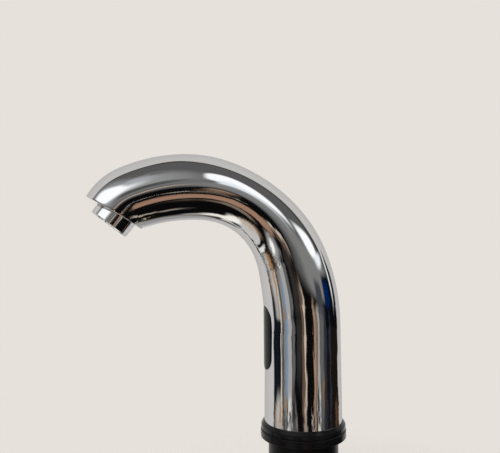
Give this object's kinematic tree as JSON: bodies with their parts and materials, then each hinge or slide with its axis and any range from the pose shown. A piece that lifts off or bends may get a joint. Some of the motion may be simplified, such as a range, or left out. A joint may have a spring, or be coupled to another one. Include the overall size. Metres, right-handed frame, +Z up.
{
  "type": "sensor tap",
  "caption": "Deck-mounted basin tap with a bulging swan-neck spout, an infrared sensor window in its column, a black base ring, a threaded shank, a solenoid valve and a screw-in aerator.",
  "frame": {"origin": "centre of the base ring's underside, where it meets the deck", "axes": "+Z up along the column's axis, -X the way the spout reaches and the user stands, Y across"},
  "size_m": [0.156, 0.0624, 0.2591],
  "materials": {
    "chrome": "polished chrome plate",
    "brass": "turned brass",
    "black_rubber": "moulded EPDM rubber",
    "seal_rubber": "nitrile sealing rings",
    "black_satin": "satin black coating",
    "black_plastic": "moulded, fine grain",
    "steel": "stainless steel",
    "valve_plastic": "glass-filled nylon",
    "coil_plastic": "moulded coil",
    "clear_tube": "drinking-water tube",
    "aerator_plastic": "acetal",
    "dark_lens": "infrared window, polished",
    "clear_lens": "clear epoxy",
    "circuit_board": "solder mask"
  },
  "bodies": {
    "root": {"spout_body": "chrome", "foot_insert": "brass", "base_gasket": "black_rubber", "base_flange": "black_satin", "deck_seal": "seal_rubber", "mounting_shank": "black_satin", "inlet_plug": "black_plastic", "retaining_ring": "steel", "inlet_nipple": "brass", "inlet_o_ring": "seal_rubber", "inlet_strainer": "steel", "cable_grommet": "black_rubber", "valve_body": "valve_plastic", "diaphragm": "seal_rubber", "valve_bonnet": "valve_plastic", "bonnet_screws": "steel", "core_tube": "steel", "plunger_spring": "steel", "solenoid_coil": "coil_plastic", "coil_frame": "steel", "coil_nut": "steel", "water_tube": "clear_tube", "outlet_adapter": "brass", "outlet_o_ring": "seal_rubber", "sensor_window": "dark_lens", "sensor_gasket": "seal_rubber", "sensor_case": "black_plastic", "sensor_board": "circuit_board", "ir_emitter": "clear_lens", "ir_receiver": "dark_lens", "sensor_bracket": "steel", "bracket_screws": "steel"},
    "aerator_cartridge": {"aerator_insert": "aerator_plastic", "aerator_screen": "aerator_plastic", "aerator_gasket": "seal_rubber"},
    "aerator_collar": {"aerator_housing": "chrome"},
    "clamp_washers": {"rubber_washer": "black_rubber", "steel_washer": "steel"},
    "nut": {"back_nut": "brass"},
    "plunger": {"plunger": "steel"},
    "diaphragm_core": {"diaphragm_core": "valve_plastic"}
  },
  "joints": [
    {"name": "aerator_travel", "type": "slide", "parent": "root", "child": "aerator_cartridge", "axis": [-0.6157, 0, -0.788], "range_m": [-0.00001, 0.00502]},
    {"name": "aerator_turn", "type": "hinge", "parent": "aerator_cartridge", "child": "aerator_collar", "pos_m": [-0.11136, 0, 0.13622], "axis": [-0.6157, 0, -0.788], "range_deg": [0, 1800]},
    {"name": "nut_travel", "type": "slide", "parent": "root", "child": "clamp_washers", "axis": [0, 0, 1], "range_m": [-0.01402, 0.01302]},
    {"name": "nut_turn", "type": "hinge", "parent": "clamp_washers", "child": "nut", "pos_m": [0, 0, -0.0295], "axis": [0, 0, 1], "range_deg": [-2520, 2340]},
    {"name": "plunger_lift", "type": "slide", "parent": "root", "child": "plunger", "axis": [0, 0, 1], "range_m": [0, 0.0015], "stiffness_N_per_m": 400, "springref_m": -0.004, "deforming": ["plunger_spring"]},
    {"name": "diaphragm_lift", "type": "slide", "parent": "root", "child": "diaphragm_core", "axis": [0, 0, 1], "range_m": [0, 0.00121]}
  ],
  "couplings": [
    {"joint": "aerator_travel", "follows": "aerator_turn", "m_per_rad": 0.00015915},
    {"joint": "nut_travel", "follows": "nut_turn", "m_per_rad": 0.00031831},
    {"joint": "diaphragm_lift", "follows": "plunger_lift", "ratio": 0.8}
  ]
}
